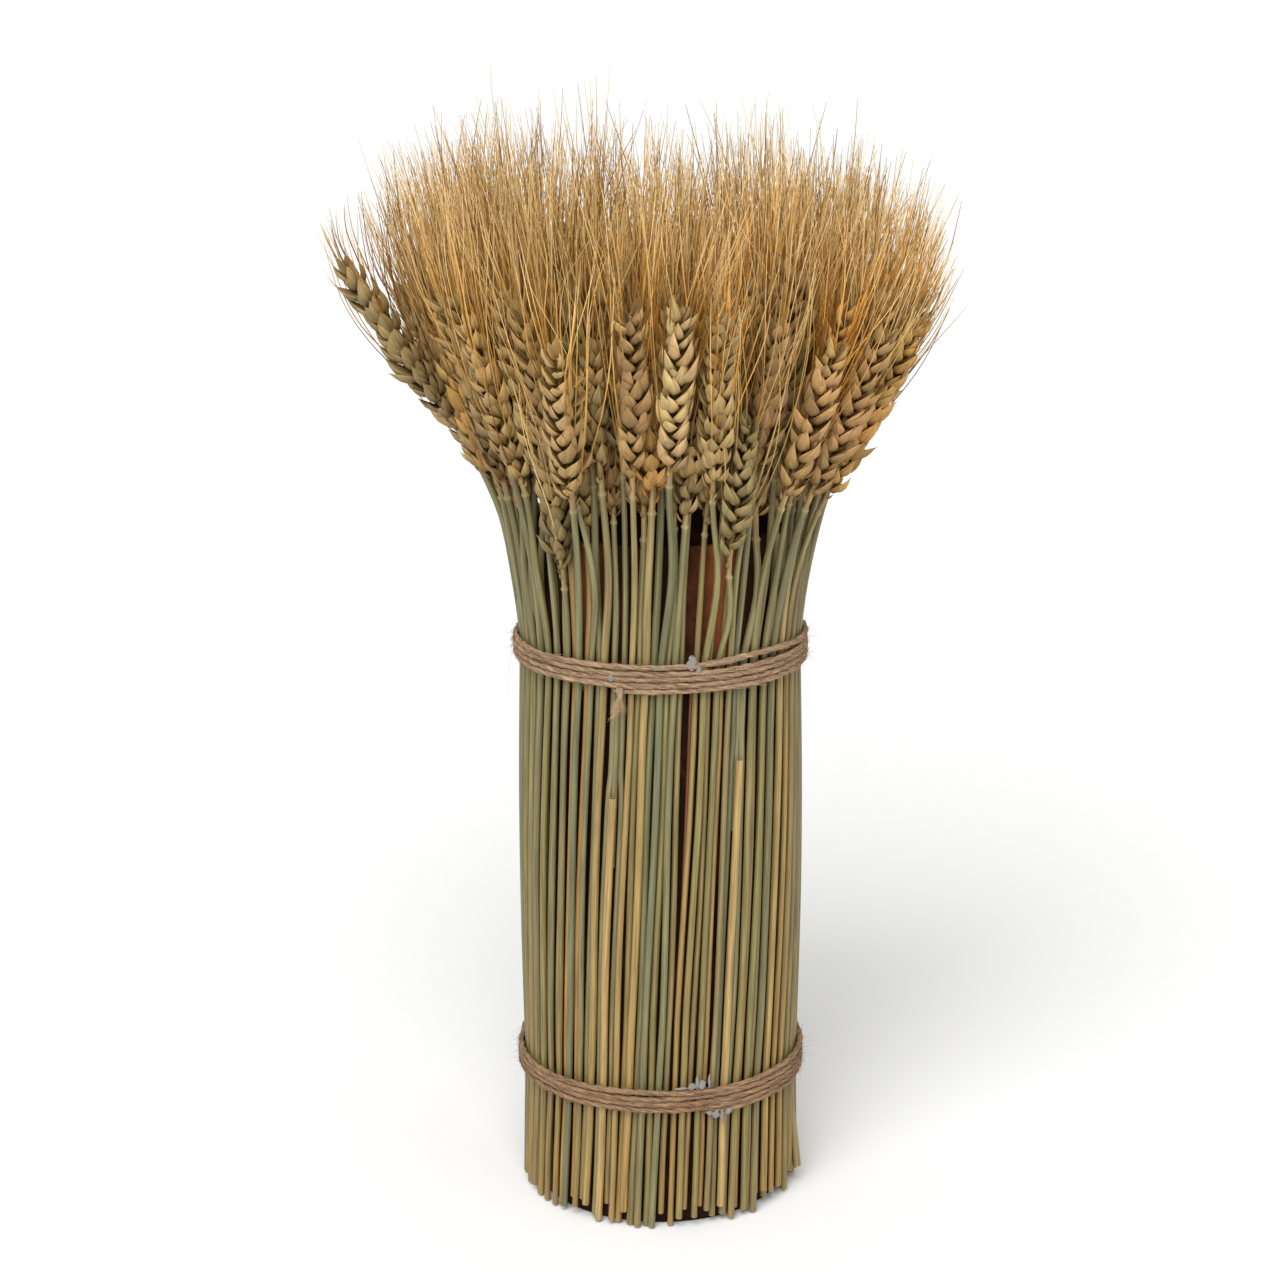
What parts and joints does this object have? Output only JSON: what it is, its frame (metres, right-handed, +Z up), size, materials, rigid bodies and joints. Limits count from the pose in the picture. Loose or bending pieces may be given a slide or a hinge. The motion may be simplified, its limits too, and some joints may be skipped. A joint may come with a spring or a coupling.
{
  "type": "dried wheat bundle",
  "caption": "Upright bundle of dried bearded wheat, its straws set round a rust-coloured tube and tied with jute twine at the waist and near the foot, with ears and awns fanning out above.",
  "frame": {"origin": "middle of the tube's foot, on the surface that the bundle stands on", "axes": "+Z up along the bundle, -Y towards the side that the picture shows, +X to that side's right"},
  "size_m": [0.2408, 0.2274, 0.4599],
  "materials": {
    "dried_wheat": "matte",
    "jute_twine": "matte",
    "rust_board": "matte"
  },
  "bodies": {
    "root": {"core_tube": "rust_board", "upper_twine": "jute_twine", "lower_twine": "jute_twine", "cut_straw_right": "dried_wheat", "cut_straw_left": "dried_wheat", "stalk_bunch_01": "dried_wheat", "stalk_bunch_02": "dried_wheat", "stalk_bunch_03": "dried_wheat", "stalk_bunch_04": "dried_wheat", "stalk_bunch_05": "dried_wheat", "stalk_bunch_06": "dried_wheat", "stalk_bunch_07": "dried_wheat", "stalk_bunch_08": "dried_wheat", "stalk_bunch_09": "dried_wheat", "stalk_bunch_10": "dried_wheat", "stalk_bunch_11": "dried_wheat", "stalk_bunch_12": "dried_wheat", "stalk_bunch_13": "dried_wheat", "stalk_bunch_14": "dried_wheat", "stalk_bunch_15": "dried_wheat", "stalk_bunch_16": "dried_wheat", "stalk_bunch_17": "dried_wheat", "stalk_bunch_18": "dried_wheat", "stalk_bunch_19": "dried_wheat", "stalk_bunch_20": "dried_wheat", "stalk_bunch_21": "dried_wheat", "stalk_bunch_22": "dried_wheat", "stalk_bunch_23": "dried_wheat", "stalk_bunch_24": "dried_wheat", "stalk_bunch_25": "dried_wheat", "stalk_bunch_26": "dried_wheat", "stalk_bunch_27": "dried_wheat", "stalk_bunch_28": "dried_wheat", "stalk_bunch_29": "dried_wheat", "stalk_bunch_30": "dried_wheat", "stalk_bunch_31": "dried_wheat", "stalk_bunch_32": "dried_wheat", "stalk_bunch_33": "dried_wheat", "stalk_bunch_34": "dried_wheat", "stalk_bunch_35": "dried_wheat", "stalk_bunch_36": "dried_wheat", "stalk_bunch_37": "dried_wheat", "stalk_bunch_38": "dried_wheat", "stalk_bunch_39": "dried_wheat", "stalk_bunch_40": "dried_wheat", "stalk_bunch_41": "dried_wheat", "stalk_bunch_42": "dried_wheat", "stalk_bunch_43": "dried_wheat", "stalk_bunch_44": "dried_wheat", "stalk_bunch_45": "dried_wheat", "stalk_bunch_46": "dried_wheat", "stalk_bunch_47": "dried_wheat", "stalk_bunch_48": "dried_wheat", "stalk_bunch_49": "dried_wheat", "stalk_bunch_50": "dried_wheat", "stalk_bunch_51": "dried_wheat"}
  },
  "joints": []
}
